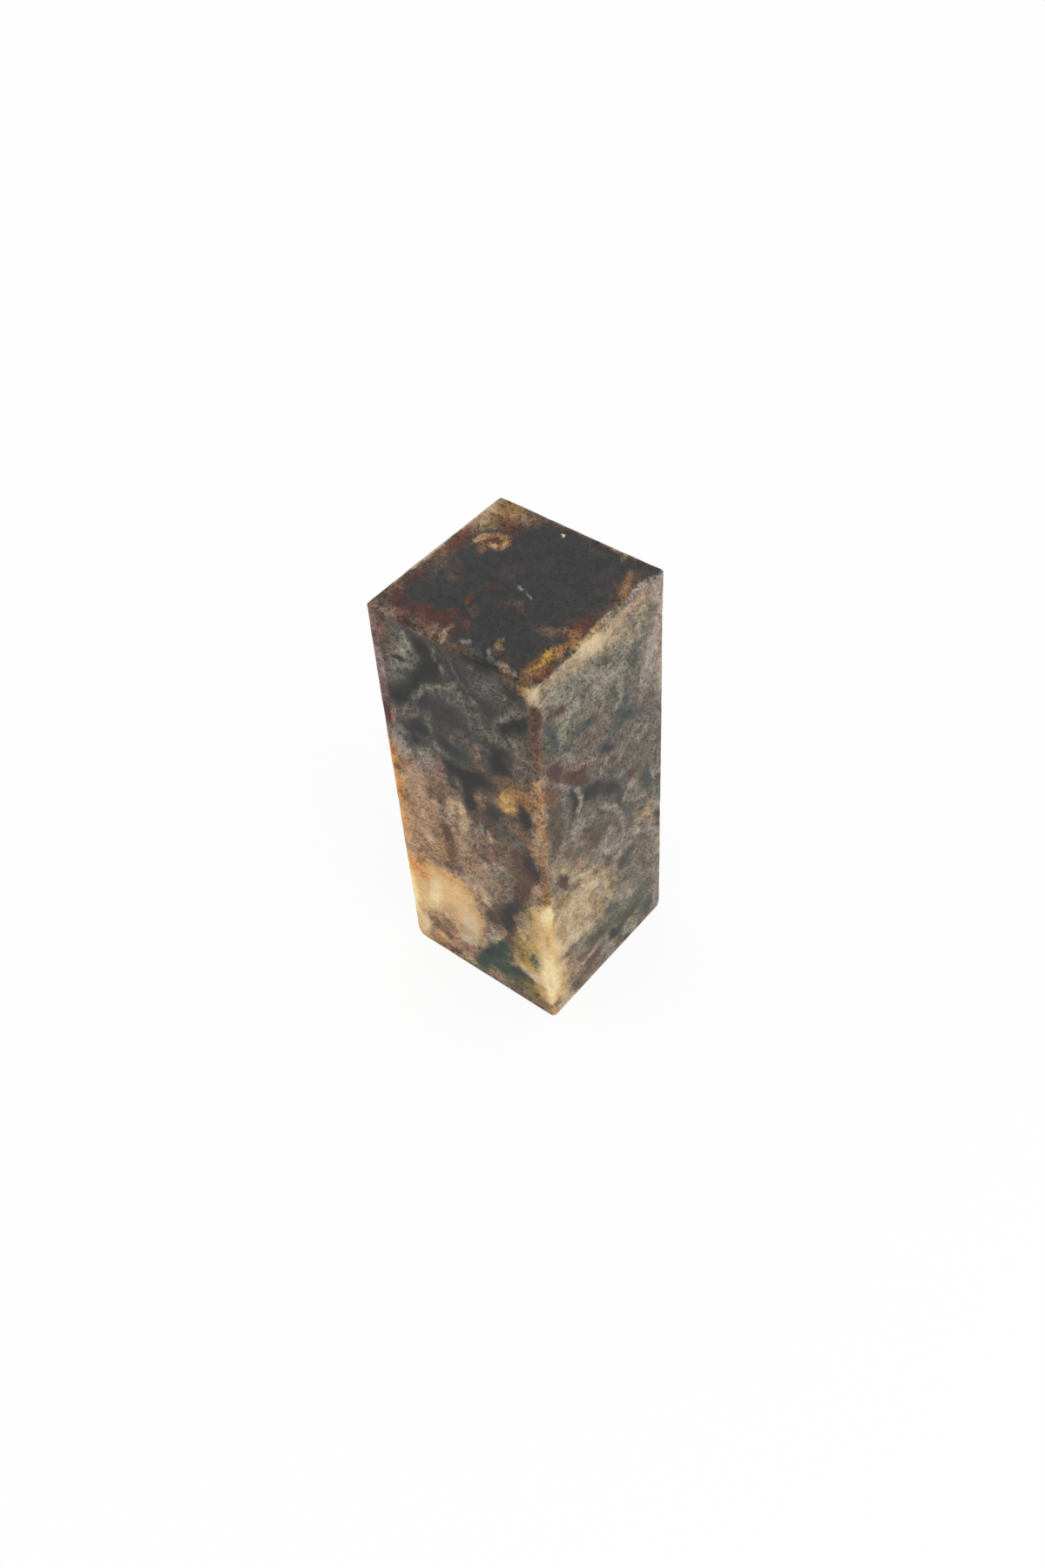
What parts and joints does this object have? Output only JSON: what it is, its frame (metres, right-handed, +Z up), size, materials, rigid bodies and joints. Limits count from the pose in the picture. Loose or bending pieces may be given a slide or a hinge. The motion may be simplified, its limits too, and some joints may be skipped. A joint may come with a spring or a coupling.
{
  "type": "seal stamp",
  "caption": "Square upright block of polished marbled soft stone, carved in relief on its foot with a border and square scrolls, with red seal paste left on the printing lines.",
  "frame": {"origin": "middle of the printing side, where the paste on the carved foot meets the paper", "axes": "+Z up along the block's length, X and Y square to its sides"},
  "size_m": [0.02, 0.02, 0.05],
  "materials": {
    "marbled_stone": "satin",
    "seal_paste": "satin"
  },
  "bodies": {
    "root": {"seal_stone": "marbled_stone", "seal_paste_film": "seal_paste"}
  },
  "joints": []
}
